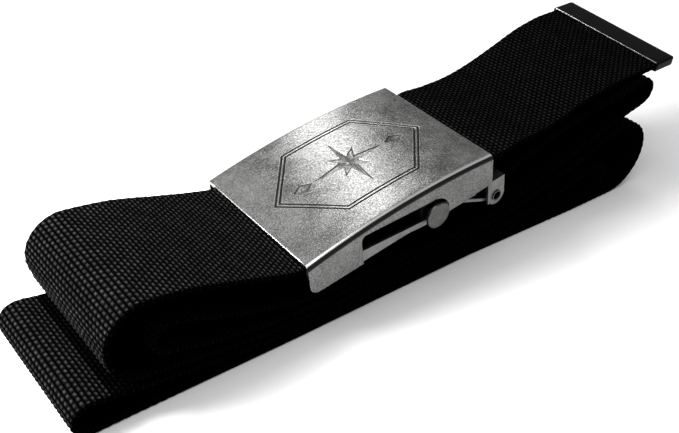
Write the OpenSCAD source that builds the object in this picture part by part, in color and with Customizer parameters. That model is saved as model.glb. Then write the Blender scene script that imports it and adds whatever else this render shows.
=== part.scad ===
// Waist belt of flat woven webbing with a sliding-roller plate buckle.
// The belt is folded back and forth into a flat stack and lies with the buckle on top.
// Units are millimetres. +X runs along the belt toward its loose end, +Y across the width,
// +Z up. Z = 0 is the surface the stack rests on, X = 0 and Y = 0 the middle of its box.
// Sizes come from a 38 mm webbing and a 42 mm wide buckle plate.

/* [Webbing] */
// width of the webbing
web_width = 38; // [36:0.1:38.2]
// thickness of the webbing
web_thick = 1.8; // [1.2:0.1:1.8]
// how far the pieces are moved along X so that the box is centred
belt_shift = -8.4; // [-12:0.1:-4]

/* [Cover plate] */
// length of the cover plate along the belt
plate_length = 57.6; // [54:0.1:62]
// width over the two flanges
plate_width = 42; // [41:0.1:46]
// thickness of the cover sheet
plate_sheet = 0.9; // [0.6:0.1:1.0]
// how far the middle of the arched plate stands above its ends
plate_arch = 2.0; // [1:0.1:3]
// depth of the flanges below the plate's ends
flange_depth = 9.3; // [9:0.1:9.6]
// outer radius of the bend between plate and flange
bend_radius = 1.2; // [1:0.1:2]
// height of the plate's ends above the ground, at the middle of the buckle
buckle_height = 27.3; // [27:0.1:28]
// how steeply the buckle leans, its loose-end side up
buckle_pitch = 10.3; // [10:0.1:11]

/* [Roller] */
// radius of the roller's axle
axle_radius = 1.45; // [1:0.05:1.5]
// radius of the push discs on the axle
head_radius = 3.55; // [2.5:0.05:4]
// thickness of a push disc
head_thick = 0.9; // [0.6:0.1:1.4]
// radius of the roller sleeve
sleeve_radius = 3.0; // [2.4:0.1:3.1]
// slope of the ramps, in degrees
ramp_slope = 7.2; // [6:0.1:8]
// distance from the buckle's middle to the axle when the roller is released
axle_rest_x = 9.5; // [9:0.1:9.8]
// depth of the released axle below the plate's ends
axle_rest_depth = 7.5; // [7.3:0.1:7.6]

/* [Frame and clamp] */
// thickness of the inner frame's sheet
frame_sheet = 0.8; // [0.6:0.1:0.9]
// end of the base plate past the buckle's middle
base_end = 34.2; // [34.2:0.1:36]
// distance from the buckle's middle to the clamp's hinge
hinge_x = 31.4; // [31:0.1:31.4]
// depth of the clamp's hinge below the plate's ends
hinge_depth = 15.2; // [15.2:0.1:15.6]
// outer radius of the hinge pin
hinge_radius = 1.55; // [1.3:0.05:1.55]
// radius of the bore through the hollow hinge pin
hinge_bore = 1.2; // [0.6:0.05:1.25]
// number of teeth on the clamp
tooth_count = 11; // [5:1:15]

/* [Belt tip] */
// length of the metal tip
tip_length = 8.2; // [6:0.1:12]
// thickness of the tip's sheet
tip_sheet = 0.45; // [0.3:0.05:0.6]

/* [Hidden] */
$fn = 64;
gap = 0.05;
eps = 0.01;

// ---- axes of the leaning buckle: x along the plate, z out of its face ----
function at_buckle(x, z) = [
  x * cos(buckle_pitch) - z * sin(buckle_pitch) + belt_shift,
  x * sin(buckle_pitch) + z * cos(buckle_pitch) + buckle_height ];
module in_buckle() translate([belt_shift, 0, buckle_height]) rotate([0, -buckle_pitch, 0]) children();

// a shape drawn in x and z, made web-wise from y0 to y1
module slab(y0, y1) translate([0, y1, 0]) rotate([90, 0, 0]) linear_extrude(y1 - y0) children();
module both_sides() { children(); mirror([0, 1, 0]) children(); }

// ---- the line that the middle of the webbing follows, as points [x, z] ----
function bend(c, r, a0, a1, n) = [for (i = [0:n]) let (a = a0 + (a1 - a0) * i / n)
  [c[0] + r * cos(a) + belt_shift, c[1] + r * sin(a)]];
function run(pts) = [for (p = pts) [p[0] + belt_shift, p[1]]];

floor_z = web_thick / 2;
// strap end under the base plate, out below the loose end and round the upper right fold
lead_in = concat(
  [at_buckle(24.4, -11.6), at_buckle(28, -11.6), at_buckle(34, -11.6)],
  run([[48, 26], [58, 29.2], [68, 31.9], [78, 34.4], [83.6, 35.8]]),
  bend([88.8, 33.0], 3.6, 105, -72, 7));
// back under the buckle to the inner fold of the upper left lobe
second = concat(
  run([[84, 27.8], [78, 25.9], [68, 22.4], [58, 18.5], [48, 14.8], [38, 11.8], [26, 10.1],
       [8, 10], [-12, 10.1], [-28, 11.2], [-40, 14], [-51, 17.8], [-56.5, 19.8]]),
  bend([-62.3, 17.5], 3.6, 75, 255, 7));
// and right again to the big lobe at the lower right
third = concat(
  run([[-58.5, 12.8], [-54, 11.4], [-42, 9.2], [-30, 8], [-12, 7.7], [8, 7.7], [28, 7.9], [39, 9],
       [50, 11.8], [60, 14.9], [70, 18.5], [76, 20.7]]),
  bend([84.8, 11.8], 10.9, 110, -90, 9));
// along the ground to the lobe at the lower left
ground = concat(
  run([[79.5, floor_z], [68, floor_z], [53, floor_z], [-52, floor_z], [-67, floor_z],
       [-75, floor_z], [-78.8, floor_z]]),
  bend([-80.7, 4.8], 3.9, 270, 85, 7));
// right to the inner fold of the big lobe, then left to the upper left lobe
inner = concat(
  run([[-76, 8], [-72, 7.4], [-62, 6], [-52, 4.5], [-40, 3.4], [-28, 3.1], [8, 3.1], [44, 3.1],
       [58, 3.2], [68, 3.6], [72.5, 3.9]]),
  bend([76.2, 8.2], 4.2, 265, 460, 7),
  run([[72, 11.8], [66, 10], [56, 7.6], [46, 5.9], [34, 5.4], [8, 5.4], [-28, 5.5], [-42, 6.1],
       [-54, 7.8], [-62, 9]]),
  bend([-67.4, 18.3], 8.4, 258, 75, 9));
// over the top, through the buckle and out to the metal tip
top = concat(
  run([[-60, 25.6], [-54, 24.4], [-42, 21.6], [-34, 19.9]]),
  [at_buckle(-29, -3.1), at_buckle(-20, -1.5), at_buckle(-8, -0.4), at_buckle(4, -0.5),
   at_buckle(16, -1.9), at_buckle(28, -3.5), at_buckle(34, -3.9)],
  run([[41.2, 30.2], [48.2, 30.6], [55.2, 31.8], [63.2, 34], [70.2, 36], [77.2, 37.6],
       [83.2, 38.5], [88.2, 38.9], [93.7, 39.15]]));
route = concat(lead_in, second, third, ground, inner, top);

// smooth curve through the route: cubic pieces whose slopes follow the neighbouring points
steps = 3;
last = len(route) - 1;
function knot(i) = i < 0 ? 2 * route[0] - route[1] :
  i > last ? 2 * route[last] - route[last - 1] : route[i];
function slope(i) = let (a = norm(knot(i) - knot(i - 1)), b = norm(knot(i + 1) - knot(i)))
  ((knot(i) - knot(i - 1)) * b / a + (knot(i + 1) - knot(i)) * a / b) / (a + b);
function curve(i, u) = let (h = norm(knot(i + 1) - knot(i)))
  (2 * u * u * u - 3 * u * u + 1) * knot(i) + (u * u * u - 2 * u * u + u) * h * slope(i)
  + (3 * u * u - 2 * u * u * u) * knot(i + 1) + (u * u * u - u * u) * h * slope(i + 1);
line = [for (i = [0:last - 1]) for (k = [0:steps - 1])
          let (p = curve(i, k / steps)) [p[0], max(p[1], floor_z)], route[last]];
count = len(line);
function normal_at(i) = let (d = line[min(i + 1, count - 1)] - line[max(i - 1, 0)])
  [-d[1], d[0]] / norm(d);
function side(s) = [for (i = [0:count - 1]) line[i] + s * web_thick / 2 * normal_at(i)];

// ---- belt tip axes: origin at the middle of its mouth ----
tip_mouth = [94.5, 39.2];
tip_pitch = 2;
tip_roll = 3.4;
tip_height = web_thick + 2 * tip_sheet + 2 * gap;
module in_tip() translate([tip_mouth[0] + belt_shift, 0, tip_mouth[1]])
  rotate([0, -tip_pitch, 0]) rotate([tip_roll, 0, 0]) children();

module webbing() color([0.04, 0.04, 0.045]) union() {
  slab(-web_width / 2, web_width / 2)
    polygon(concat(side(1), [for (i = [count - 1:-1:0]) side(-1)[i]]));
  in_tip() translate([-1.2, -web_width / 2, -web_thick / 2])
    cube([1.2 + tip_length - tip_sheet - gap, web_width, web_thick]);
}

module belt_tip() color([0.06, 0.06, 0.06]) in_tip() {
  half = web_width / 2 + gap + tip_sheet;
  corner = 1.2;
  difference() {
    translate([0, 0, -tip_height / 2]) linear_extrude(tip_height) union() {
      translate([0, -half]) square([tip_length - corner, 2 * half]);
      translate([0, -half + corner]) square([tip_length, 2 * half - 2 * corner]);
      for (s = [-1, 1]) translate([tip_length - corner, s * (half - corner)]) circle(corner);
    }
    translate([-1, -web_width / 2 - gap, -web_thick / 2 - gap])
      cube([1 + tip_length - tip_sheet, web_width + 2 * gap, web_thick + 2 * gap]);
  }
}

// ---- cover plate ----
half_length = plate_length / 2;
arch_radius = (half_length * half_length + plate_arch * plate_arch) / (2 * plate_arch);
arch_angle = 2 * asin((half_length + 1) / arch_radius);
slot_left = -13.4;
slot_slope = 6;
slot_small = 1.5;
slot_big = 5.0;
slot_small_at = [slot_left + slot_small, -2.5];
slot_big_at = [9.0, -8.2];
foot_round = 2.6;

// half of the channel section, as [distance from the arch's centre, y]
module channel() {
  r1 = arch_radius;
  depth = flange_depth + plate_arch + 3;
  w = plate_width / 2;
  t = plate_sheet;
  ri = bend_radius - t;
  difference() {
    union() {
      translate([r1 - depth, -w]) square([depth - bend_radius, 2 * w]);
      translate([r1 - bend_radius - eps, -w + bend_radius])
        square([bend_radius + eps, 2 * w - 2 * bend_radius]);
      for (s = [-1, 1]) translate([r1 - bend_radius, s * (w - bend_radius)]) circle(bend_radius);
    }
    union() {
      translate([r1 - depth - 1, -w + t]) square([depth + 1 - t - ri, 2 * w - 2 * t]);
      translate([r1 - depth - 1, -w + t + ri]) square([depth + 1 - t, 2 * w - 2 * t - 2 * ri]);
      for (s = [-1, 1]) translate([r1 - t - ri, s * (w - t - ri)]) circle(ri);
    }
  }
}

// outline of the opening in a flange, open at the bottom; its roof slopes with the roller's travel
roof_way = [sin(slot_slope), cos(slot_slope)];
module slot_outline() {
  polygon([[slot_left, -12], [slot_left, slot_small_at[1]], slot_small_at + slot_small * roof_way,
    slot_big_at + slot_big * roof_way, [slot_big_at[0] + slot_big, slot_big_at[1]],
    [slot_big_at[0] + slot_big - 0.2, -12]]);
  translate(slot_small_at) circle(slot_small);
  translate(slot_big_at) circle(slot_big);
}

module face_plate() color([0.62, 0.62, 0.6]) in_buckle() difference() {
  intersection() {
    translate([0, 0, plate_arch - arch_radius]) rotate([90, 0, 0]) rotate([0, 0, 90 - arch_angle / 2])
      rotate_extrude(angle = arch_angle, $fn = 360) channel();
    translate([-half_length, -plate_width, -flange_depth])
      cube([plate_length, 2 * plate_width, flange_depth + plate_arch + 5]);
  }
  slab(-plate_width, plate_width) slot_outline();
  // rounded lower corners of the flanges
  slab(-plate_width, plate_width) difference() {
    translate([-half_length - 1, -flange_depth - 1]) square([foot_round + 1, foot_round + 1]);
    translate([-half_length + foot_round, -flange_depth + foot_round]) circle(foot_round);
  }
}

// ---- inner frame: two rails, a cross bar, the base plate and its ears ----
wall_out = plate_width / 2 - plate_sheet - gap;
wall_in = wall_out - frame_sheet;
rail_left = -22;
rail_right = 24;
rail_foot = -9.5;
rail_dip = [1, 9];
base_top = -9.8;
base_under = base_top - frame_sheet;
window_end = 14;
stop_x = axle_rest_x + axle_radius + 0.15;
stop_top = -6.8;
ear_left = 28.4;
ear_round = 2.8;
// height of the ramp's edge at x, one axle radius and a running gap under the axle's middle
function ramp(x) = (axle_rest_x - x) * tan(ramp_slope)
  - axle_rest_depth - (axle_radius + gap) / cos(ramp_slope);

module rail_outline() polygon([[rail_left, rail_foot], [rail_left, ramp(rail_left)],
  [stop_x, ramp(stop_x)], [stop_x, stop_top], [rail_right - 2, stop_top],
  [rail_right, base_top], [rail_right, base_under], [rail_dip[1], base_under], [rail_dip[0], rail_foot]]);

module ear_outline() difference() {
  union() {
    translate([ear_left, -hinge_depth]) square([base_end - ear_left, base_top + hinge_depth]);
    translate([hinge_x, -hinge_depth]) circle(ear_round);
    translate([ear_left, -hinge_depth - 1.6]) square([hinge_x - ear_left, 1.6 + eps]);
  }
  translate([hinge_x, -hinge_depth]) circle(hinge_radius + 0.02);
}

module inner_frame() color([0.55, 0.55, 0.54]) in_buckle() union() {
  both_sides() {
    slab(wall_in, wall_out) rail_outline();
    slab(wall_in, wall_out) ear_outline();
  }
  translate([rail_left, -wall_in - eps, rail_foot]) cube([7, 2 * wall_in + 2 * eps, frame_sheet]);
  translate([window_end, -wall_in - eps, base_under])
    cube([base_end - window_end, 2 * wall_in + 2 * eps, frame_sheet]);
}

// ---- roller ----
head_gap = 0.3;
head_y = plate_width / 2 + head_gap;
sleeve_half = wall_in - 0.3;
module on_axle() in_buckle() translate([axle_rest_x, 0, -axle_rest_depth]) rotate([90, 0, 0]) children();

module roller_pin() color([0.7, 0.7, 0.68]) on_axle() union() {
  translate([0, 0, -head_y - head_thick]) cylinder(r = axle_radius, h = 2 * head_y + head_thick + eps);
  translate([0, 0, head_y]) cylinder(r = head_radius, h = head_thick);
}

module roller_cap() color([0.7, 0.7, 0.68]) on_axle() difference() {
  translate([0, 0, -head_y - head_thick]) cylinder(r = head_radius, h = head_thick);
  translate([0, 0, -head_y - 2 * head_thick]) cylinder(r = axle_radius + 0.02, h = 3 * head_thick);
}

module roller_sleeve() color([0.5, 0.5, 0.5]) on_axle() difference() {
  translate([0, 0, -sleeve_half]) cylinder(r = sleeve_radius, h = 2 * sleeve_half);
  translate([0, 0, -sleeve_half - 1]) cylinder(r = axle_radius + gap, h = 2 * sleeve_half + 2);
}

// ---- clamp ----
flap_half = wall_in - 0.2;
barrel_radius = hinge_radius + gap + frame_sheet;
flap_left = -11.4;
flap_rise = 3.6;
flap_reach = sqrt(flap_left * flap_left + flap_rise * flap_rise);
// direction of the flap's plate, whose outer face runs just inside the barrel's
plate_drop = barrel_radius - 0.15;
plate_end = -0.7;
flap_slope = atan(flap_rise / -flap_left) + asin(plate_drop / flap_reach);
flap_length = sqrt(flap_reach * flap_reach - plate_drop * plate_drop);
tooth_back = 5.4;
tooth_height = 1.0;
tooth_pitch = 2 * (flap_half - 2) / (tooth_count - 1);
module on_hinge() in_buckle() translate([hinge_x, 0, -hinge_depth]) children();

module clamp_flap() color([0.6, 0.6, 0.58]) on_hinge() difference() {
  union() {
    slab(-flap_half, flap_half) circle(barrel_radius);
    rotate([0, flap_slope, 0]) translate([-flap_length, -flap_half, -plate_drop])
      cube([flap_length + plate_end, 2 * flap_half, frame_sheet]);
    for (i = [0:tooth_count - 1])
      rotate([0, flap_slope, 0]) translate([-tooth_back, -flap_half + 2 + i * tooth_pitch, 0])
        slab(-0.5, 0.5) polygon([[-0.7, -plate_drop + 0.4], [0.7, -plate_drop + 0.4],
          [0.7, -plate_drop + frame_sheet], [0, -plate_drop + frame_sheet + tooth_height],
          [-0.7, -plate_drop + frame_sheet]]);
  }
  slab(-flap_half - 1, flap_half + 1) circle(hinge_radius + gap);
}

module hinge_pin() color([0.6, 0.6, 0.58]) on_hinge() difference() {
  slab(-wall_out - 0.3, wall_out + 0.3) circle(hinge_radius);
  slab(-wall_out - 2, wall_out + 2) circle(hinge_bore);
}

face_plate();
inner_frame();
roller_pin();
roller_cap();
roller_sleeve();
clamp_flap();
hinge_pin();
webbing();
belt_tip();
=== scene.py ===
"""Looks of a folded webbing belt with a sliding-roller plate buckle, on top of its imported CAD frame.

Shapes are worked out in millimetres, in the row frame or in the leaning buckle's own axes,
and turned into metres when a mesh is made.
"""
import math

import bmesh
import bpy
import numpy as np
from mathutils import Matrix, Vector
from mathutils.geometry import delaunay_2d_cdt


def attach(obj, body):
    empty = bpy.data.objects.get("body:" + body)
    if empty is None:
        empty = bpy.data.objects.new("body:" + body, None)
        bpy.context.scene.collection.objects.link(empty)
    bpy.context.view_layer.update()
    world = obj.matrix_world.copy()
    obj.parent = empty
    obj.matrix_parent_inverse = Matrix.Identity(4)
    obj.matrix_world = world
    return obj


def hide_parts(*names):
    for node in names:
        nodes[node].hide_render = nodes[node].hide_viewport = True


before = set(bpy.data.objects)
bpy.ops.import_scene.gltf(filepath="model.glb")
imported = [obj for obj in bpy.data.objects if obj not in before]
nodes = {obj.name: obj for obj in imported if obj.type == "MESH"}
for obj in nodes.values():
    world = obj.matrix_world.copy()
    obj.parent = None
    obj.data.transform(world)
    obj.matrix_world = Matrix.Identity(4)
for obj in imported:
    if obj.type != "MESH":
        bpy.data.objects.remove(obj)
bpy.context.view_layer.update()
MM = 0.001

# ---- driving sizes, the same as in the CAD source, in millimetres ----
WEB_WIDTH = 38.0
WEB_THICK = 1.8
BELT_SHIFT = -8.4
BUCKLE_HEIGHT = 27.3
BUCKLE_PITCH = math.radians(10.3)
PLATE_HALF = 28.8
PLATE_SIDE = 21.0
PLATE_SHEET = 0.9
PLATE_ARCH = 2.0
FLANGE_DEPTH = 9.3
BEND_RADIUS = 1.2
AXLE = (9.5, -7.5)
AXLE_RADIUS = 1.45
HEAD_RADIUS = 3.55
HEAD_THICK = 0.9
HEAD_GAP = 0.3
SLEEVE_RADIUS = 3.0
SLEEVE_HALF = 18.95
TIP_MOUTH = (94.5 + BELT_SHIFT, 39.2)
TIP_PITCH = math.radians(2)
TIP_ROLL = math.radians(3.4)
TIP_LENGTH = 8.2
TIP_SHEET = 0.45
FIT_GAP = 0.05

# from the buckle's axes and from the tip's axes to the row frame
BUCKLE = Matrix.Translation((BELT_SHIFT, 0, BUCKLE_HEIGHT)) @ Matrix.Rotation(-BUCKLE_PITCH, 4, "Y")
TIP = (Matrix.Translation((TIP_MOUTH[0], 0, TIP_MOUTH[1])) @ Matrix.Rotation(-TIP_PITCH, 4, "Y")
       @ Matrix.Rotation(TIP_ROLL, 4, "X"))


# ---- camera ----
def make_camera():
    """The photograph's viewpoint: from the near left, looking down along the belt."""
    place = Vector((-137.8, -148.0, 153.5)) * MM
    aim = Vector((40.0, 58.7, -42.6)) * MM
    roll = math.radians(4.33)
    data = bpy.data.cameras.new("camera")
    data.sensor_width = 36.0
    data.lens = 49.87
    data.clip_start = 0.01
    camera = bpy.data.objects.new("camera", data)
    bpy.context.scene.collection.objects.link(camera)
    turn = (aim - place).to_track_quat("-Z", "Y").to_matrix().to_4x4()
    camera.matrix_world = Matrix.Translation(place) @ turn @ Matrix.Rotation(roll, 4, "Z")
    bpy.context.scene.camera = camera
    return camera


# ---- mesh helpers ----
def add_piece(name, verts, faces, place=None, body="belt", sharp=30):
    """Makes a smooth-shaded piece from points in millimetres, in axes given by place."""
    matrix = place or Matrix()
    mesh = bpy.data.meshes.new(name)
    mesh.from_pydata([tuple((matrix @ Vector(v)) * MM) for v in verts], [], faces)
    mesh.update()
    mesh.polygons.foreach_set("use_smooth", [True] * len(mesh.polygons))
    mesh.set_sharp_from_angle(angle=math.radians(sharp))
    piece = bpy.data.objects.new(name, mesh)
    bpy.context.scene.collection.objects.link(piece)
    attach(piece, body)
    return piece


def loft(rings, close_first=True, close_last=True):
    """Faces and points of a surface through rings that have the same number of points."""
    count = len(rings[0])
    verts = [p for ring in rings for p in ring]
    faces = []
    for r in range(len(rings) - 1):
        for k in range(count):
            a, b = r * count + k, r * count + (k + 1) % count
            faces.append((a, b, b + count, a + count))
    if close_first:
        faces.append(tuple(range(count - 1, -1, -1)))
    if close_last:
        faces.append(tuple(range((len(rings) - 1) * count, len(rings) * count)))
    return verts, faces


def lathe(profile, turns=64, wave=None):
    """Rings about the Y axis from (y, radius) pairs; wave(k) scales the radius at step k."""
    rings = []
    for y, radius in profile:
        ring = []
        for k in range(turns):
            angle = 2 * math.pi * k / turns
            r = radius * (wave(k) if wave else 1)
            ring.append((r * math.cos(angle), y, r * math.sin(angle)))
        rings.append(ring)
    return loft(rings)


# ---- shader helpers ----
def new_material(name, metallic, roughness, colour, specular=0.5):
    """A material, its node tree and its Principled shader."""
    material = bpy.data.materials.new(name)
    material.use_nodes = True
    tree = material.node_tree
    shader = tree.nodes["Principled BSDF"]
    shader.inputs["Metallic"].default_value = metallic
    shader.inputs["Roughness"].default_value = roughness
    shader.inputs["Base Color"].default_value = (*colour, 1)
    shader.inputs["Specular IOR Level"].default_value = specular
    return material, tree, shader


def maths(tree, operation, a, b=None, clamp=False):
    """A Math node on sockets or numbers; returns its output."""
    node = tree.nodes.new("ShaderNodeMath")
    node.operation = operation
    node.use_clamp = clamp
    for socket, value in zip(node.inputs, (a, b)):
        if value is None:
            continue
        if isinstance(value, (int, float)):
            socket.default_value = value
        else:
            tree.links.new(value, socket)
    return node.outputs[0]


def noise(tree, vector, scale, detail=3.0, roughness=0.5):
    """A noise texture's factor on a vector socket."""
    node = tree.nodes.new("ShaderNodeTexNoise")
    node.inputs["Scale"].default_value = scale
    node.inputs["Detail"].default_value = detail
    node.inputs["Roughness"].default_value = roughness
    tree.links.new(vector, node.inputs["Vector"])
    return node.outputs["Fac"]


def remap(tree, value, low, high, to_low=0.0, to_high=1.0):
    """A clamped linear map of a socket from low..high to to_low..to_high."""
    node = tree.nodes.new("ShaderNodeMapRange")
    tree.links.new(value, node.inputs["Value"])
    for name, number in (("From Min", low), ("From Max", high), ("To Min", to_low), ("To Max", to_high)):
        node.inputs[name].default_value = number
    return node.outputs["Result"]


def mix_colours(tree, factor, first, second):
    """A colour that goes from first to second with factor; each is a colour or a socket."""
    node = tree.nodes.new("ShaderNodeMix")
    node.data_type = "RGBA"
    tree.links.new(factor, node.inputs["Factor"])
    for socket, value in ((node.inputs[6], first), (node.inputs[7], second)):
        if isinstance(value, tuple):
            socket.default_value = (*value, 1)
        else:
            tree.links.new(value, socket)
    return node.outputs[2]


def stretched(tree, scales):
    """Object coordinates multiplied by scales, for grain that runs one way."""
    coords = tree.nodes.new("ShaderNodeTexCoord")
    mapping = tree.nodes.new("ShaderNodeMapping")
    mapping.inputs["Scale"].default_value = scales
    tree.links.new(coords.outputs["Object"], mapping.inputs["Vector"])
    return mapping.outputs["Vector"]


def bump(tree, shader, height, strength, distance):
    """Joins a height socket to a shader's normal."""
    node = tree.nodes.new("ShaderNodeBump")
    node.inputs["Strength"].default_value = strength
    node.inputs["Distance"].default_value = distance
    tree.links.new(height, node.inputs["Height"])
    tree.links.new(node.outputs["Normal"], shader.inputs["Normal"])
    return node


def attribute(tree, name):
    """The value of a named mesh attribute."""
    node = tree.nodes.new("ShaderNodeAttribute")
    node.attribute_name = name
    return node.outputs["Fac"]


# ---- materials ----
def plate_metal():
    """Tumbled nickel, finely speckled: a vertex value darkens it above 0, with patina in the engraving and
    painted shade on bends, flanges and undersides, and brightens it below 0 as a painted highlight.
    """
    material, tree, shader = new_material("plate_metal", 1.0, 0.28, (0.5, 0.5, 0.49))
    coords = stretched(tree, (1, 1, 1))
    cloud = noise(tree, coords, 150, 4, 0.6)
    speck = noise(tree, coords, 2300, 4, 0.8)
    fine = noise(tree, coords, 5200, 2, 0.6)
    tone = remap(tree, maths(tree, "ADD", maths(tree, "MULTIPLY", cloud, 0.22),
                             maths(tree, "MULTIPLY", speck, 0.78)), 0.4, 0.6)
    clean = mix_colours(tree, tone, (0.13, 0.13, 0.128), (0.41, 0.41, 0.403))
    # above 0: engraved patina and painted shade; below 0: a painted highlight on the plate's ends, bends and
    # groove lips
    patina_and_painted_light = attribute(tree, "patina_and_painted_light")
    patina_and_shade_colour = mix_colours(tree, maths(tree, "MULTIPLY", patina_and_painted_light, 1, True), clean, (0.008, 0.008, 0.008))
    with_painted_highlight = mix_colours(tree, maths(tree, "MULTIPLY", patina_and_painted_light, -1, True), patina_and_shade_colour, (0.95, 0.95, 0.94))
    tree.links.new(with_painted_highlight, shader.inputs["Base Color"])
    tree.links.new(remap(tree, patina_and_painted_light, 0.7, 1.0, 1, 0), shader.inputs["Metallic"])
    shader.inputs["Specular IOR Level"].default_value = 0.1
    tree.links.new(remap(tree, cloud, 0.3, 0.7, 0.21, 0.29), shader.inputs["Roughness"])
    bump(tree, shader, maths(tree, "ADD", speck, maths(tree, "MULTIPLY", fine, 0.6)), 0.25, 0.00006)
    return material


def plain_metal(name, colour, roughness, grain):
    """Plated steel with a faint grain and small stains."""
    material, tree, shader = new_material(name, 1.0, roughness, colour)
    coords = stretched(tree, (1, 1, 1))
    tone_shift = noise(tree, coords, 380, 4, 0.6)
    fine = noise(tree, stretched(tree, grain), 900, 3, 0.6)
    dark = tuple(c * 0.72 for c in colour)
    tree.links.new(mix_colours(tree, remap(tree, tone_shift, 0.35, 0.65), dark, colour),
                   shader.inputs["Base Color"])
    tree.links.new(remap(tree, fine, 0.3, 0.7, roughness - 0.06, roughness + 0.1),
                   shader.inputs["Roughness"])
    bump(tree, shader, fine, 0.15, 0.00004)
    return material


def tip_paint():
    """Gloss black paint with faint dust and scuffs."""
    material, tree, shader = new_material("tip_paint", 0.0, 0.3, (0.001, 0.001, 0.001), 0.05)
    coords = stretched(tree, (1, 1, 1))
    scuff = noise(tree, coords, 700, 5, 0.7)
    fine = noise(tree, coords, 4200, 3, 0.6)
    tree.links.new(mix_colours(tree, remap(tree, scuff, 0.55, 0.75), (0.0005, 0.0005, 0.0005),
                               (0.005, 0.005, 0.005)), shader.inputs["Base Color"])
    tree.links.new(remap(tree, scuff, 0.3, 0.7, 0.25, 0.42), shader.inputs["Roughness"])
    bump(tree, shader, fine, 0.12, 0.00005)
    return material


WARP_PITCH = 1.55
PICK_PITCH = 1.1


def webbing_cloth():
    """Black plain weave in ribs: its floats get a painted highlight in their colour and the gaps between
    them painted shade, with random yarn and wear tone, less where the painted "shade" is high.
    """
    material, tree, shader = new_material("webbing_cloth", 0.0, 0.7, (0.01, 0.01, 0.01), 0.04)
    uv = tree.nodes.new("ShaderNodeUVMap")
    uv.uv_map = "cloth"
    split = tree.nodes.new("ShaderNodeSeparateXYZ")
    tree.links.new(uv.outputs["UV"], split.inputs[0])
    across = maths(tree, "MULTIPLY", split.outputs[0], 2 * math.pi / WARP_PITCH)
    along = maths(tree, "MULTIPLY", split.outputs[1], math.pi / PICK_PITCH)
    beat = maths(tree, "COSINE", along)
    floats = maths(tree, "MULTIPLY", maths(tree, "COSINE", across), beat)
    height = maths(tree, "MULTIPLY", remap(tree, floats, -1.0, 1.0, 0.1, 1.0),
                   maths(tree, "MULTIPLY", beat, beat))
    wear = noise(tree, uv.outputs["UV"], 0.22, 3, 0.6)
    yarn = noise(tree, uv.outputs["UV"], 1.6, 2, 0.5)
    fibre_map = tree.nodes.new("ShaderNodeMapping")
    fibre_map.inputs["Scale"].default_value = (9.0, 2.0, 1.0)
    tree.links.new(uv.outputs["UV"], fibre_map.inputs["Vector"])
    fibre = noise(tree, fibre_map.outputs["Vector"], 1.0, 2, 0.6)
    # painted highlight on the floats and black painted shade between them, varied by random yarn and wear
    # tone and dimmed by the painted "shade" attribute
    float_painted_light = maths(tree, "MULTIPLY", maths(tree, "POWER", height, 1.5),
                  remap(tree, yarn, 0.3, 0.7, 0.35, 1.25))
    float_painted_light = maths(tree, "MULTIPLY", float_painted_light, remap(tree, wear, 0.3, 0.7, 0.6, 1.15))
    float_painted_light = maths(tree, "MULTIPLY", float_painted_light, remap(tree, attribute(tree, "shade"), 0, 1, 1, 0.06), True)
    tree.links.new(mix_colours(tree, float_painted_light, (0.0003, 0.0003, 0.0003), (0.045, 0.045, 0.046)),
                   shader.inputs["Base Color"])
    tree.links.new(maths(tree, "MULTIPLY", float_painted_light, 0.06), shader.inputs["Specular IOR Level"])
    bump(tree, shader, maths(tree, "ADD", height, maths(tree, "MULTIPLY", fibre, 0.3)), 0.7, 0.0003)
    return material


def floor_paper():
    """Plain pale paper."""
    material, tree, shader = new_material("floor_paper", 0.0, 0.9, (0.86, 0.86, 0.86), 0.1)
    grain = noise(tree, stretched(tree, (1, 1, 1)), 900, 2, 0.5)
    tree.links.new(mix_colours(tree, grain, (0.85, 0.85, 0.85), (0.88, 0.88, 0.88)),
                   shader.inputs["Base Color"])
    return material


# ---- webbing ----
def at_buckle(x, z):
    """A point of the buckle's own axes, as (x, z) in the row frame."""
    return (x * math.cos(BUCKLE_PITCH) - z * math.sin(BUCKLE_PITCH) + BELT_SHIFT,
            x * math.sin(BUCKLE_PITCH) + z * math.cos(BUCKLE_PITCH) + BUCKLE_HEIGHT)


def run(*points):
    """Points of a nearly straight stretch of the route."""
    return [(x + BELT_SHIFT, z) for x, z in points]


def bend(centre, radius, start, end, count=7):
    """Points round a fold of the route, between two angles in degrees."""
    angles = [math.radians(start + (end - start) * i / count) for i in range(count + 1)]
    return [(centre[0] + radius * math.cos(a) + BELT_SHIFT, centre[1] + radius * math.sin(a))
            for a in angles]


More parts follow.
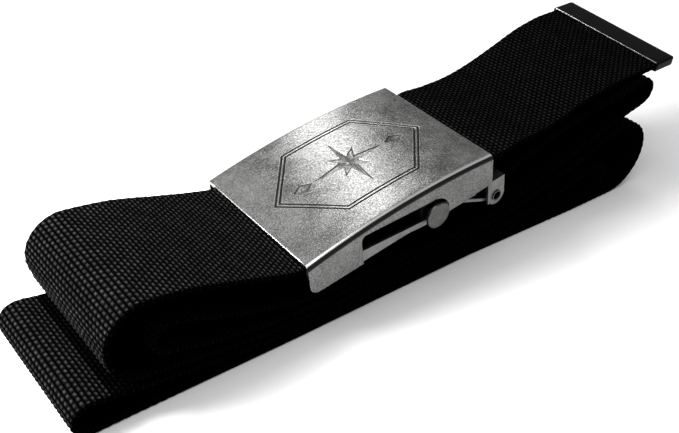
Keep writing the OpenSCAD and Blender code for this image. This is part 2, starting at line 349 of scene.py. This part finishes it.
FLOOR_Z = WEB_THICK / 2
STRETCHES = {
    "lead_in": [at_buckle(24.4, -11.6), at_buckle(28, -11.6), at_buckle(34, -11.6)]
    + run((48, 26), (58, 29.2), (68, 31.9), (78, 34.4), (83.6, 35.8)),
    "upper_right": bend((88.8, 33.0), 3.6, 105, -72),
    "second": run((84, 27.8), (78, 25.9), (68, 22.4), (58, 18.5), (48, 14.8), (38, 11.8), (26, 10.1),
                  (8, 10), (-12, 10.1), (-28, 11.2), (-40, 14), (-51, 17.8), (-56.5, 19.8))
    + bend((-62.3, 17.5), 3.6, 75, 255),
    "third": run((-58.5, 12.8), (-54, 11.4), (-42, 9.2), (-30, 8), (-12, 7.7), (8, 7.7), (28, 7.9),
                 (39, 9), (50, 11.8), (60, 14.9), (70, 18.5), (76, 20.7)),
    "lower_right": bend((84.8, 11.8), 10.9, 110, -90, 9),
    "ground": run((79.5, FLOOR_Z), (68, FLOOR_Z), (53, FLOOR_Z), (-52, FLOOR_Z), (-67, FLOOR_Z),
                  (-75, FLOOR_Z), (-78.8, FLOOR_Z)),
    "lower_left": bend((-80.7, 4.8), 3.9, 270, 85),
    "fifth": run((-76, 8), (-72, 7.4), (-62, 6), (-52, 4.5), (-40, 3.4), (-28, 3.1), (8, 3.1), (44, 3.1),
                 (58, 3.2), (68, 3.6), (72.5, 3.9))
    + bend((76.2, 8.2), 4.2, 265, 460)
    + run((72, 11.8), (66, 10), (56, 7.6), (46, 5.9), (34, 5.4), (8, 5.4), (-28, 5.5), (-42, 6.1),
          (-54, 7.8), (-62, 9)),
    "upper_left": bend((-67.4, 18.3), 8.4, 258, 75, 9),
    "top_left": run((-60, 25.6), (-54, 24.4), (-42, 21.6), (-34, 19.9)),
    "in_buckle": [at_buckle(-29, -3.1), at_buckle(-20, -1.5), at_buckle(-8, -0.4), at_buckle(4, -0.5),
                  at_buckle(16, -1.9), at_buckle(28, -3.5), at_buckle(34, -3.9)],
    "loose_end": run((41.2, 30.2), (48.2, 30.6), (55.2, 31.8), (63.2, 34), (70.2, 36), (77.2, 37.6),
                     (83.2, 38.5), (88.2, 38.9), (93.7, 39.15)),
}


def smooth_line(points, steps=16):
    """Cubic pieces through points, with slopes that follow the neighbouring points."""
    knots = np.array(points, float)
    padded = np.vstack([2 * knots[0] - knots[1], knots, 2 * knots[-1] - knots[-2]])
    gaps = np.linalg.norm(np.diff(padded, axis=0), axis=1)[:, None]
    rises = np.diff(padded, axis=0) / gaps
    slopes = (rises[:-1] * gaps[1:] + rises[1:] * gaps[:-1]) / (gaps[:-1] + gaps[1:])
    line = []
    for i in range(len(knots) - 1):
        h = gaps[i + 1]
        for u in np.arange(steps) / steps:
            line.append((2 * u**3 - 3 * u**2 + 1) * knots[i] + (u**3 - 2 * u**2 + u) * h * slopes[i]
                        + (3 * u**2 - 2 * u**3) * knots[i + 1] + (u**3 - u**2) * h * slopes[i + 1])
    line = np.array(line + [knots[-1]])
    line[:, 1] = np.maximum(line[:, 1], FLOOR_Z)
    return line


class StrapLine:
    """The strap's middle line, by length along it."""

    def __init__(self):
        route = [p for points in STRETCHES.values() for p in points]
        self.line = smooth_line(route)
        tip = np.array([TIP_MOUTH[0] + (TIP_LENGTH - TIP_SHEET - 0.1) * math.cos(TIP_PITCH),
                        TIP_MOUTH[1] + (TIP_LENGTH - TIP_SHEET - 0.1) * math.sin(TIP_PITCH)])
        self.line = np.vstack([self.line, tip])
        self.length_at = np.concatenate([[0], np.cumsum(np.linalg.norm(np.diff(self.line, axis=0), axis=1))])
        self.total = self.length_at[-1]
        first = 0
        self.spans = {}
        for name, points in STRETCHES.items():
            last = first + len(points)
            self.spans[name] = (self.length_at[min(first * 16, len(self.length_at) - 1)],
                                self.length_at[min(last * 16, len(self.length_at) - 1)])
            first = last

    def at(self, s):
        """Points on the middle line."""
        return np.stack([np.interp(s, self.length_at, self.line[:, k]) for k in (0, 1)], axis=-1)

    def normal(self, s):
        """Unit normals, to the left of the way the line runs."""
        ahead = self.at(np.minimum(s + 0.6, self.total)) - self.at(np.maximum(s - 0.6, 0))
        ahead /= np.linalg.norm(ahead, axis=-1, keepdims=True)
        return np.stack([-ahead[..., 1], ahead[..., 0]], axis=-1)


# how far the near and the far edge of the webbing are lifted, by place along X on the two top stretches
LIFT_TOP_LEFT = [(-92, 0, 0.6), (-84, 0.8, 0.9), (-76, 1.7, 1.3), (-64, 2.0, 1.8), (-50, 1.2, 1.4),
                 (-38, 0.3, 1.0), (-30, 0, 0.7), (-20, 0, 0)]
LIFT_LOOSE_END = [(26, 0, 0), (32, 0.7, -0.9), (43, 0.6, -1.0), (54, 1.1, -0.9), (61, 0.4, -0.5),
                  (69, -0.5, 0.5), (78, -1.1, 1.2), (85.6, -1.13, 1.13)]
# and by length along the strap on the fold under the loose end
LIFT_UNDER_TIP = [(35, 0, 0), (60, -0.5, 0), (68, -0.5, 0), (77, 0, 0)]
# how far the folds drift sideways, by place along X: the lower stack, and the upper left lobe
DRIFT_STACK = [(-80, 0), (-40, -0.5), (20, -0.5), (60, -1.9), (90, -2.2)]
DRIFT_TOP_LEFT = [(-84, 1.0), (-60, 0.7), (-38, 0)]


def webbing_mesh(strap):
    """The whole strap as one closed skin, with real weave on the side that shows."""
    dense, coarse = 96, 12
    flat_half = WARP_PITCH * dense / 8
    relief = 0.26
    shown = []
    for name in ("upper_right", "lower_right", "lower_left", "upper_left"):
        a, b = strap.spans[name]
        shown.append((a - 22, b + 22))
    shown.append((strap.spans["loose_end"][0] - 8, strap.total - TIP_LENGTH + 1.0))
    shown.append((strap.spans["upper_left"][0] - 4, strap.spans["in_buckle"][0] + 2))
    underside = strap.spans["ground"]
    rows = []
    s = 0.0
    while s < strap.total:
        showing = any(a <= s <= b for a, b in shown)
        below = underside[0] <= s <= underside[1]
        rows.append((s, showing or below))
        s = round(s + (PICK_PITCH / 2 if showing else PICK_PITCH), 6)
    rows.append((strap.total, False))
    lengths = np.array([r[0] for r in rows])
    middle, left = strap.at(lengths), strap.normal(lengths)
    verts, cloth, faces, rings, shade = [], [], [], [], []
    inner = [strap.spans[name] for name in ("lead_in", "second", "third", "fifth")]

    def section(s, fine):
        """(across, height, pattern across) round the strap, from the near edge of the shown side."""
        count = dense if fine else coarse
        top = []
        for k in range(count + 1):
            y = -flat_half + 2 * flat_half * k / count
            over = math.cos(2 * math.pi * y / WARP_PITCH) * math.cos(math.pi * s / PICK_PITCH)
            weave = (1 + over) * math.cos(math.pi * s / PICK_PITCH) ** 2 - 1
            top.append((y, WEB_THICK / 2 - relief / 2 + (relief / 2 * weave if fine else 0), y))
        rim = WEB_WIDTH / 2 - flat_half - 0.06 + 0.06 * math.cos(math.pi * s / PICK_PITCH)
        far = [(flat_half + rim, WEB_THICK / 2 - relief / 2 - 0.22, flat_half + 0.4),
               (flat_half + rim, -WEB_THICK / 2 + relief / 2 + 0.22, flat_half + 1.4)]
        under = [(flat_half - 2 * flat_half * k / (coarse / 2), -WEB_THICK / 2 + relief / 2,
                  flat_half - 2 * flat_half * k / (coarse / 2)) for k in range(int(coarse / 2) + 1)]
        near = [(-y, -h, -t) for y, h, t in far]
        return top, far + under + near

    for i, (s, fine) in enumerate(rows):
        top, rest = section(s, fine)
        start = len(verts)
        for y, h, t in top + rest:
            x, z = middle[i] + left[i] * h
            verts.append((x, y, z))
            cloth.append((t, s))
        # painted shade on the shown top: darker towards +x, almost full on the inner folds; the edges and
        # back get full painted shade
        painted_shade = float(np.interp(middle[i][0], (-30, 35), (0, 0.72)))
        if any(a <= s <= b for a, b in inner):
            painted_shade = 0.96
        shade += [painted_shade] * len(top) + [1.0] * len(rest)
        rings.append((start, len(top), len(rest)))
    for (a, na, ra), (b, nb, rb) in zip(rings, rings[1:]):
        if na == nb:
            for k in range(na - 1):
                faces.append((a + k, a + k + 1, b + k + 1, b + k))
        else:
            fine_start, coarse_start, step = (a, b, dense // coarse) if na > nb else (b, a, dense // coarse)
            for k in range(coarse):
                row = [fine_start + k * step + j for j in range(step + 1)]
                pair = [coarse_start + k, coarse_start + k + 1]
                faces.append(tuple(row + pair[::-1]) if na > nb else tuple(pair + row[::-1]))
        loop_a = [a + na - 1] + [a + na + k for k in range(ra)] + [a]
        loop_b = [b + nb - 1] + [b + nb + k for k in range(rb)] + [b]
        for k in range(len(loop_a) - 1):
            faces.append((loop_a[k], loop_a[k + 1], loop_b[k + 1], loop_b[k]))
    first, last = rings[0], rings[-1]
    faces.append(tuple(range(first[0] + first[1] + first[2] - 1, first[0] - 1, -1)))
    faces.append(tuple(range(last[0], last[0] + last[1] + last[2])))
    return np.array(verts), cloth, faces, shade


def lean(strap, verts, cloth):
    """Lifts the two edges of the top stretches by different amounts and lets the folds drift."""
    s = np.array([c[1] for c in cloth])
    x = strap.at(s)[:, 0]
    far_share = verts[:, 1] / WEB_WIDTH + 0.5
    top_left = (s > strap.spans["upper_left"][0] + 8) & (s < strap.spans["in_buckle"][0] + 20)
    loose_end = s > strap.spans["loose_end"][0] - 6
    under_tip = s < strap.spans["upper_right"][1] + 2
    for part, place, table in ((top_left, x, LIFT_TOP_LEFT), (loose_end, x, LIFT_LOOSE_END),
                               (under_tip, s, LIFT_UNDER_TIP)):
        places, near, far = zip(*table)
        lift = np.interp(place, places, near) * (1 - far_share) + np.interp(place, places, far) * far_share
        verts[part, 2] += lift[part]
    lead = np.interp(s, (30, 60), (0, 1))
    places, drift = zip(*DRIFT_STACK)
    stack = s < strap.spans["upper_left"][0]
    verts[stack, 1] += (np.interp(x, places, drift) * lead)[stack]
    places, drift = zip(*DRIFT_TOP_LEFT)
    share = np.interp(s, (strap.spans["upper_left"][0], strap.spans["upper_left"][0] + 14), (0, 1))
    verts[~stack, 1] += (np.interp(x, places, drift) * share)[~stack]
    return verts


def make_webbing():
    strap = StrapLine()
    verts, cloth, faces, shade = webbing_mesh(strap)
    verts = lean(strap, verts, cloth)
    piece = add_piece("webbing_strap", [tuple(v) for v in verts], faces, sharp=60)
    layer = piece.data.uv_layers.new(name="cloth")
    corner_verts = np.empty(len(piece.data.loops), int)
    piece.data.loops.foreach_get("vertex_index", corner_verts)
    layer.data.foreach_set("uv", np.array(cloth)[corner_verts].ravel())
    piece.data.attributes.new("shade", "FLOAT", "POINT").data.foreach_set("value", shade)
    piece.data.materials.append(webbing_cloth())
    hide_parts("webbing")
    return piece


# ---- cover plate ----
SLOT_LEFT, SLOT_SLOPE = -13.4, math.radians(6)
SLOT_SMALL, SLOT_SMALL_AT = 1.5, (-11.9, -2.5)
SLOT_BIG, SLOT_BIG_AT = 5.0, (9.0, -8.2)
SLOT_RIGHT = SLOT_BIG_AT[0] + math.sqrt(SLOT_BIG**2 - (FLANGE_DEPTH + SLOT_BIG_AT[1]) ** 2)
FOOT_ROUND = 2.6
END_BEVEL = 0.2
# painted light on the cover: a painted highlight on its ends, a painted highlight then a painted dark
# reflection line round the bends, and painted shade on the flanges
FLANGE_PAINTED_SHADE = 0.54
END_PAINTED_HIGHLIGHT = -0.5
BEND_ANGLES = (0, 15, 28, 38, 43, 48, 90)
BEND_PAINTED_LIGHT = (-0.5, -1, -1, -0.6, 1, 1, 1)
FLANGE_EDGE = 0.12
# rings round each engraved line and figure: inset distance, depth, darkening value; dark patina at the
# bottoms, and a painted highlight on the groove lips where the value is below 0
GROOVE_RINGS = ((-0.44, 0.0, 0.0), (-0.32, 0.0, -0.5), (-0.18, 0.17, 1.0), (0.18, 0.17, 1.0),
                (0.32, 0.0, -0.4), (0.44, 0.0, 0.0))
FIGURE_RINGS = ((-0.2, 0.0, 0.0), (0.0, 0.16, 1.0), (0.3, 0.2, 0.25))


def arch(x):
    """Height of the plate's outer face at x."""
    radius = (PLATE_HALF**2 + PLATE_ARCH**2) / (2 * PLATE_ARCH)
    return PLATE_ARCH - radius + math.sqrt(radius**2 - x**2)


def is_end(x):
    """Whether x is one of the plate's two ends."""
    return abs(x) > PLATE_HALF - 0.01


def skin_height(x):
    """Height of the plate's outer face at x, with a small bevel at the ends."""
    return arch(x) - (0.12 if is_end(x) else 0)


def flange_foot(x, right_of_edge):
    """Lower edge of a flange at x: the foot, its rounded corner, or the slot's outline."""
    roof_start = SLOT_SMALL_AT[0] + SLOT_SMALL * math.sin(SLOT_SLOPE)
    roof_end = SLOT_BIG_AT[0] + SLOT_BIG * math.sin(SLOT_SLOPE)
    inside = SLOT_LEFT < x < SLOT_RIGHT or (x == SLOT_LEFT and right_of_edge)
    inside = inside or (x == SLOT_RIGHT and not right_of_edge)
    if inside and x < roof_start:
        return SLOT_SMALL_AT[1] + math.sqrt(max(0, SLOT_SMALL**2 - (x - SLOT_SMALL_AT[0]) ** 2))
    if inside and x <= roof_end:
        start_z = SLOT_SMALL_AT[1] + SLOT_SMALL * math.cos(SLOT_SLOPE)
        end_z = SLOT_BIG_AT[1] + SLOT_BIG * math.cos(SLOT_SLOPE)
        return start_z + (end_z - start_z) * (x - roof_start) / (roof_end - roof_start)
    if inside:
        return SLOT_BIG_AT[1] + math.sqrt(SLOT_BIG**2 - (x - SLOT_BIG_AT[0]) ** 2)
    from_end = x + PLATE_HALF
    if from_end < FOOT_ROUND:
        return -FLANGE_DEPTH + FOOT_ROUND - math.sqrt(FOOT_ROUND**2 - (FOOT_ROUND - from_end) ** 2)
    return -FLANGE_DEPTH


def ornament():
    """Engraved outlines: closed V grooves, and facetted figures sunk to a point."""
    grooves, figures = [], []

    def hexagon(half_long, half_wide, flat):
        return [(-half_long, 0), (-flat, half_wide), (flat, half_wide), (half_long, 0),
                (flat, -half_wide), (-flat, -half_wide)]

    outline = hexagon(22.6, 13.6, 10.8)
    grooves += [outline, inset(outline, 0.95)]
    star = []
    for k in range(16):
        angle = math.radians(-22.5 * k)
        reach = 2.3 if k % 2 else (9.6 if k % 8 == 0 else 8.6 if k % 4 == 0 else 5.2)
        star.append((reach * math.cos(angle), reach * math.sin(angle)))
    figures.append((star, (0, 0), 0.45))
    for side in (-1, 1):
        middle = (side * 14.2, 0)
        diamond = [(middle[0] - 2.6, 0), (middle[0], 1.5), (middle[0] + 2.6, 0), (middle[0], -1.5)]
        figures.append((diamond, middle, 0.32))
    return grooves, figures


def inset(loop, distance):
    """A closed outline moved inwards by distance; it runs clockwise."""
    moved = []
    for i, corner in enumerate(loop):
        before, after = Vector(loop[i - 1]), Vector(loop[(i + 1) % len(loop)])
        here = Vector(corner)
        a, b = (here - before).normalized(), (after - here).normalized()
        na, nb = Vector((a.y, -a.x)), Vector((b.y, -b.x))
        middle = (na + nb).normalized()
        moved.append(tuple(here + middle * distance / middle.dot(na)))
    return moved


def along_loop(loop, spacing):
    """Points round a closed outline, corners kept."""
    points = []
    for i, corner in enumerate(loop):
        here, after = Vector(corner), Vector(loop[(i + 1) % len(loop)])
        count = max(1, round((after - here).length / spacing))
        points += [tuple(here.lerp(after, k / count)) for k in range(count)]
    return points


def top_sheet(columns):
    """Triangles of the plate's engraved outer face, with how deep each point is and its value of patina
    (above 0) and painted highlight (below 0).
    """
    half_y = PLATE_SIDE - BEND_RADIUS
    points, depth, dark, edges = [], [], [], []

    def add_loop(loop, sunk, tone_shift):
        start = len(points)
        for p in loop:
            points.append(Vector(p))
            depth.append(sunk)
            dark.append(tone_shift)
        edges.extend((start + k, start + (k + 1) % len(loop)) for k in range(len(loop)))

    rim = [(x, -half_y) for x in columns]
    ys = np.linspace(-half_y, half_y, 23)
    rim += [(columns[-1], y) for y in ys[1:-1]]
    rim += [(x, half_y) for x in columns[::-1]]
    rim += [(columns[0], y) for y in ys[::-1][1:-1]]
    add_loop(rim, 0, 0)
    for x in (END_BEVEL - PLATE_HALF, PLATE_HALF - END_BEVEL):
        start = len(points)
        for y in ys[1:-1]:
            points.append(Vector((x, y)))
            depth.append(0)
            dark.append(0)
        edges.extend((k, k + 1) for k in range(start, len(points) - 1))
    grooves, figures = ornament()
    keep_off = []
    for loop in grooves:
        for distance, sunk, tone_shift in GROOVE_RINGS:
            ring = along_loop(inset(loop, distance), 1.6)
            add_loop(ring, sunk, tone_shift)
            keep_off += ring
    for loop, middle, sunk in figures:
        for distance, ring_depth, tone_shift in FIGURE_RINGS:
            add_loop(inset(loop, distance), ring_depth, tone_shift)
        hub = len(points)
        points.append(Vector(middle))
        depth.append(sunk)
        dark.append(0.1)
        start = hub - len(loop)
        edges.extend((start + k, hub) for k in range(len(loop)))
        keep_off += along_loop(loop, 0.5)
    keep_off = np.array(keep_off)
    for i, x in enumerate(np.arange(-27, 27.1, 1.8)):
        for y in np.arange(-18.4 + (i % 2) * 0.9, 18.6, 1.8):
            if np.min(np.hypot(keep_off[:, 0] - x, keep_off[:, 1] - y)) > 0.8:
                points.append(Vector((x, y)))
                depth.append(0)
                dark.append(0)
    verts, _, faces, origins, _, _ = delaunay_2d_cdt(points, edges, [], 0, 1e-5)
    deep = [max((depth[o] for o in origin), default=0) for origin in origins]
    patina_and_light_values = [sum(dark[o] for o in origin) for origin in origins]
    return verts, faces, deep, patina_and_light_values


def make_cover():
    """The cover plate: engraved arched top, rounded bends, slotted flanges and an inner face."""
    columns = sorted(set([round(x, 4) for x in np.linspace(-PLATE_HALF, PLATE_HALF, 73)]
                         + [round(-PLATE_HALF + FOOT_ROUND * (1 - math.cos(a)), 4)
                            for a in np.linspace(0, math.pi / 2, 7)]
                         + [round(SLOT_LEFT + SLOT_SMALL * (1 - math.cos(a)), 4)
                            for a in np.linspace(0, math.pi / 2, 6)]
                         + [round(SLOT_BIG_AT[0] + SLOT_BIG * math.sin(math.radians(a)), 4)
                            for a in range(6, 76, 6)]
                         + [SLOT_RIGHT, PLATE_HALF - END_BEVEL, END_BEVEL - PLATE_HALF]))
    build = bmesh.new()
    patina_and_painted_light = build.verts.layers.float.new("patina_and_painted_light")

    def vert(x, y, z, tone_shift=0.0):
        v = build.verts.new((x, y, z))
        v[patina_and_painted_light] = tone_shift
        return v

    verts, faces, deep, patina_and_light_values = top_sheet(columns)
    # the ends get a painted highlight; elsewhere the values are engraved patina and the groove lips' painted
    # highlight
    skin = [vert(p.x, p.y, skin_height(p.x) - d, END_PAINTED_HIGHLIGHT if is_end(p.x) else s)
            for p, d, s in zip(verts, deep, patina_and_light_values)]
    for face in faces:
        build.faces.new([skin[k] for k in face])
    cuts = [(x, right) for x in columns for right in (False, True)
            if right or x in (SLOT_LEFT, SLOT_RIGHT)]
    inner_radius = BEND_RADIUS - PLATE_SHEET
    for side in (-1, 1):
        strips = []
        for x, right in cuts:
            top, foot = arch(x), flange_foot(x, right)
            skin_top = skin_height(x)
            outer = [(side * (PLATE_SIDE - BEND_RADIUS + BEND_RADIUS * math.sin(a)),
                      skin_top - BEND_RADIUS + BEND_RADIUS * math.cos(a))
                     for a in np.radians(BEND_ANGLES)]
            outer.append((side * PLATE_SIDE, top - BEND_RADIUS - 0.3))
            outer.append((side * PLATE_SIDE, top - BEND_RADIUS - 0.45))
            outer.append((side * PLATE_SIDE, foot + FLANGE_EDGE))
            outer.append((side * (PLATE_SIDE - FLANGE_EDGE), foot))
            inner = [(side * (PLATE_SIDE - PLATE_SHEET + FLANGE_EDGE), foot),
                     (side * (PLATE_SIDE - PLATE_SHEET), foot + FLANGE_EDGE)]
            inner += [(side * (PLATE_SIDE - BEND_RADIUS + inner_radius * math.sin(a)),
                       top - BEND_RADIUS + inner_radius * math.cos(a))
                      for a in np.linspace(math.pi / 2, 0, 3)]
            # painted light round each bend and flange: a painted highlight on the ends and upper bend, a
            # painted dark line lower on the bend, painted shade on the flanges, less on their foot edge, and
            # painted shade on their inner faces
            tone_shift = [END_PAINTED_HIGHLIGHT if is_end(x) else 0, *BEND_PAINTED_LIGHT, FLANGE_PAINTED_SHADE, FLANGE_PAINTED_SHADE, 0.2]
            tone_shift += [0.6] * len(inner)
            strips.append([vert(x, y, z, s) for (y, z), s in zip(outer + inner, tone_shift)])
        for left, right in zip(strips, strips[1:]):
            for k in range(len(left) - 1):
                build.faces.new((left[k], left[k + 1], right[k + 1], right[k]))
        for ends in (strips[0], strips[-1]):
            half = len(ends) // 2
            for k in range(half - 1):
                build.faces.new((ends[k], ends[k + 1], ends[-k - 2], ends[-k - 1]))
    half_y = PLATE_SIDE - BEND_RADIUS
    # painted shade on the plate's underside
    under = [[vert(x, y, arch(x) - PLATE_SHEET, 0.5) for x in columns] for y in (-half_y, half_y)]
    for k in range(len(columns) - 1):
        build.faces.new((under[0][k], under[0][k + 1], under[1][k + 1], under[1][k]))
    ys = np.linspace(-half_y, half_y, 23)
    for x, column in ((columns[0], 0), (columns[-1], -1)):
        # painted highlight on the plate's end faces
        edge = [vert(x, y, skin_height(x), END_PAINTED_HIGHLIGHT) for y in ys]
        build.faces.new(edge + [under[1][column], under[0][column]])
    bmesh.ops.remove_doubles(build, verts=build.verts, dist=2e-4)
    bmesh.ops.recalc_face_normals(build, faces=build.faces)
    build.transform(BUCKLE)
    bmesh.ops.scale(build, vec=(MM, MM, MM), verts=build.verts)
    mesh = bpy.data.meshes.new("cover")
    build.to_mesh(mesh)
    build.free()
    mesh.polygons.foreach_set("use_smooth", [True] * len(mesh.polygons))
    mesh.set_sharp_from_angle(angle=math.radians(17))
    piece = bpy.data.objects.new("cover_plate", mesh)
    bpy.context.scene.collection.objects.link(piece)
    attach(piece, "belt")
    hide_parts("face_plate")
    mesh.materials.append(plate_metal())
    return piece


# ---- roller ----
def make_roller(metal, painted_shade):
    """Axle with its dished push discs, and the knurled sleeve on it."""
    place = BUCKLE @ Matrix.Translation((AXLE[0], 0, AXLE[1]))
    start = PLATE_SIDE + HEAD_GAP
    end = start + HEAD_THICK
    disc = [(start, HEAD_RADIUS - 0.15), (start + 0.15, HEAD_RADIUS), (end - 0.35, HEAD_RADIUS),
            (end - 0.1, HEAD_RADIUS - 0.1), (end, HEAD_RADIUS - 0.38), (end - 0.06, HEAD_RADIUS - 0.8),
            (end - 0.2, 1.6), (end - 0.24, 0.6)]
    near = [(-y, r) for y, r in reversed(disc)]
    pin = near + [(-start, AXLE_RADIUS), (end - 0.3, AXLE_RADIUS), (end - 0.22, AXLE_RADIUS - 0.1)]
    verts, faces = lathe(pin)
    axle = add_piece("roller_axle", verts, faces, place, "roller_carriage", 35)
    axle.data.materials.append(metal)
    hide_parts("roller_pin")
    ring = [(start, AXLE_RADIUS + 0.03), (start, HEAD_RADIUS - 0.15)] + disc[1:6] + [
        (end - 0.18, AXLE_RADIUS + 0.25), (end - 0.28, AXLE_RADIUS + 0.03)]
    verts, faces = loft([[(r * math.cos(2 * math.pi * k / 64), y, r * math.sin(2 * math.pi * k / 64))
                          for k in range(64)] for y, r in ring], False, False)
    count = 64
    last = (len(ring) - 1) * count
    faces += [(last + k, last + (k + 1) % count, (k + 1) % count, k) for k in range(count)]
    cap = add_piece("roller_disc", verts, faces, place, "roller_carriage", 35)
    cap.data.materials.append(metal)
    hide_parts("roller_cap")
    ridges = 44
    outline = [(-SLEEVE_HALF + 0.02, SLEEVE_RADIUS - 0.35), (-SLEEVE_HALF + 0.35, SLEEVE_RADIUS - 0.02),
               (SLEEVE_HALF - 0.35, SLEEVE_RADIUS - 0.02), (SLEEVE_HALF - 0.02, SLEEVE_RADIUS - 0.35)]
    bore_radius = AXLE_RADIUS + FIT_GAP + 0.03
    bore = [(SLEEVE_HALF - 0.02, bore_radius), (-SLEEVE_HALF + 0.02, bore_radius)]
    steps = ridges * 4
    rings = []
    for index, (y, r) in enumerate(outline + bore):
        knurl = index in (1, 2)
        reach = [r - (0.22 if knurl and k % 4 >= 2 else 0) for k in range(steps)]
        rings.append([(reach[k] * math.cos(2 * math.pi * k / steps), y,
                       reach[k] * math.sin(2 * math.pi * k / steps)) for k in range(steps)])
    verts, faces = loft(rings, False, False)
    last = (len(rings) - 1) * steps
    faces += [(last + k, last + (k + 1) % steps, (k + 1) % steps, k) for k in range(steps)]
    sleeve = add_piece("roller_knurl", verts, faces, place, "roller", 25)
    # the sleeve's near-black colour is painted shade for the inside of the slot
    sleeve.data.materials.append(painted_shade)
    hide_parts("roller_sleeve")
    return axle, cap, sleeve


# ---- belt tip ----
def rounded_ring(half_y, half_z, radius, x, per_corner=5, wobble=0.0):
    """A rounded rectangle round the X axis, the same number of points whatever its size."""
    ring = []
    side_steps = 16
    corners = [(1, 1, 0), (-1, 1, 90), (-1, -1, 180), (1, -1, 270)]
    for index, (sy, sz, start) in enumerate(corners):
        cy, cz = sy * (half_y - radius), sz * (half_z - radius)
        for k in range(per_corner + 1):
            a = math.radians(start + 90 * k / per_corner)
            ring.append((x, cy + radius * math.cos(a), cz + radius * math.sin(a)))
        if index in (0, 2):
            for k in range(1, side_steps):
                t = k / side_steps
                y = cy * (1 - 2 * t)
                z = sz * half_z + sz * wobble * math.cos(2 * math.pi * y / 4.6)
                ring.append((x, y, z))
    return ring


def make_tip(paint, bare):
    """Folded metal tip: a flat painted shell with a bare edge at its mouth."""
    half_y = WEB_WIDTH / 2 + FIT_GAP + TIP_SHEET
    half_z = WEB_THICK / 2 + FIT_GAP + TIP_SHEET
    slot_y, slot_z = WEB_WIDTH / 2 + FIT_GAP, WEB_THICK / 2 + FIT_GAP
    rings = [rounded_ring(slot_y, slot_z, 0.3, TIP_LENGTH - TIP_SHEET - 0.05),
             rounded_ring(slot_y, slot_z, 0.3, 0.25),
             rounded_ring(slot_y + 0.04, slot_z + 0.04, 0.3, 0.02, wobble=0.02),
             rounded_ring(half_y - 0.1, half_z - 0.09, 0.5, 0.0, wobble=0.05),
             rounded_ring(half_y, half_z, 0.6, 0.16)]
    nose = 1.2
    for x in np.linspace(0.9, TIP_LENGTH - nose, 5):
        rings.append(rounded_ring(half_y, half_z, 0.6, float(x)))
    for k in range(1, 7):
        a = math.radians(15 * k)
        inset_by = nose * (1 - math.cos(a))
        rings.append(rounded_ring(half_y - inset_by, half_z - 0.7 * inset_by / nose, 0.6 - 0.4 * k / 6,
                                  TIP_LENGTH - nose + nose * math.sin(a)))
    verts, faces = loft(rings)
    piece = add_piece("strap_tip", verts, faces, TIP, sharp=40)
    piece.data.materials.append(paint)
    piece.data.materials.append(bare)
    count = len(rings[0])
    for face in piece.data.polygons:
        middle = TIP.inverted() @ (face.center / MM)
        if 2 * count <= face.index < 4 * count and middle.z > 0.3 and abs(middle.y) < half_y - 0.7:
            face.material_index = 1
    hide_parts("belt_tip")
    return piece


# ---- pieces kept from the CAD model ----
def finish_cad(name, material, width):
    """Gives a CAD piece its metal and takes the sharpness off its edges."""
    piece = nodes[name]
    piece.data.materials.clear()
    piece.data.materials.append(material)
    edge = piece.modifiers.new("edges", "BEVEL")
    edge.width = width * MM
    edge.segments = 2
    edge.limit_method = "ANGLE"
    edge.angle_limit = math.radians(40)


# ---- floor, light and backdrop ----
def make_stage():
    bpy.ops.mesh.primitive_plane_add(size=6, location=(0, 0, -0.00002))
    floor = bpy.context.object
    floor.name = "floor"
    floor.data.materials.append(floor_paper())
    world = bpy.data.worlds.new("studio")
    bpy.context.scene.world = world
    world.use_nodes = True
    world.node_tree.nodes["Background"].inputs[0].default_value = (1, 1, 1, 1)
    world.node_tree.nodes["Background"].inputs[1].default_value = 0.36
    bpy.context.scene.view_settings.view_transform = "Standard"

    def area(name, place, aim, size, power):
        data = bpy.data.lights.new(name, "AREA")
        data.shape = "RECTANGLE"
        data.size, data.size_y = size
        data.energy = power
        lamp = bpy.data.objects.new(name, data)
        lamp.location = place
        lamp.rotation_euler = (Vector(aim) - Vector(place)).to_track_quat("-Z", "Y").to_euler()
        bpy.context.scene.collection.objects.link(lamp)
        return lamp

    area("key", (-0.35, -0.10, 0.8), (0, 0, 0), (0.7, 0.7), 4.5)
    area("left_lamp", (-0.26, 0.12, 0.26), (-0.06, 0, 0.03), (0.14, 0.14), 2.8)
    area("back_strip", (0.24, 0.50, 0.56), (0, 0, 0.02), (0.08, 0.45), 0.72)
    area("back_fill", (-0.02, 0.50, 0.62), (0, 0, 0.02), (0.25, 0.3), 0.12)


make_camera()
make_stage()
roller_metal = plain_metal("roller_metal", (0.09, 0.09, 0.088), 0.3, (1, 1, 1))
frame_metal = plain_metal("frame_metal", (0.2, 0.2, 0.196), 0.36, (1, 8, 8))
# near-black sleeve colour: painted shade standing in for the shade inside the buckle's slot
sleeve_shade_metal = plain_metal("sleeve_shade_metal", (0.02, 0.02, 0.02), 0.5, (1, 1, 1))
bare_metal = plain_metal("bare_metal", (0.85, 0.85, 0.84), 0.2, (1, 1, 1))
make_webbing()
make_cover()
make_roller(roller_metal, sleeve_shade_metal)
make_tip(tip_paint(), bare_metal)
finish_cad("inner_frame", frame_metal, 0.12)
finish_cad("clamp_flap", frame_metal, 0.1)
finish_cad("hinge_pin", roller_metal, 0.1)
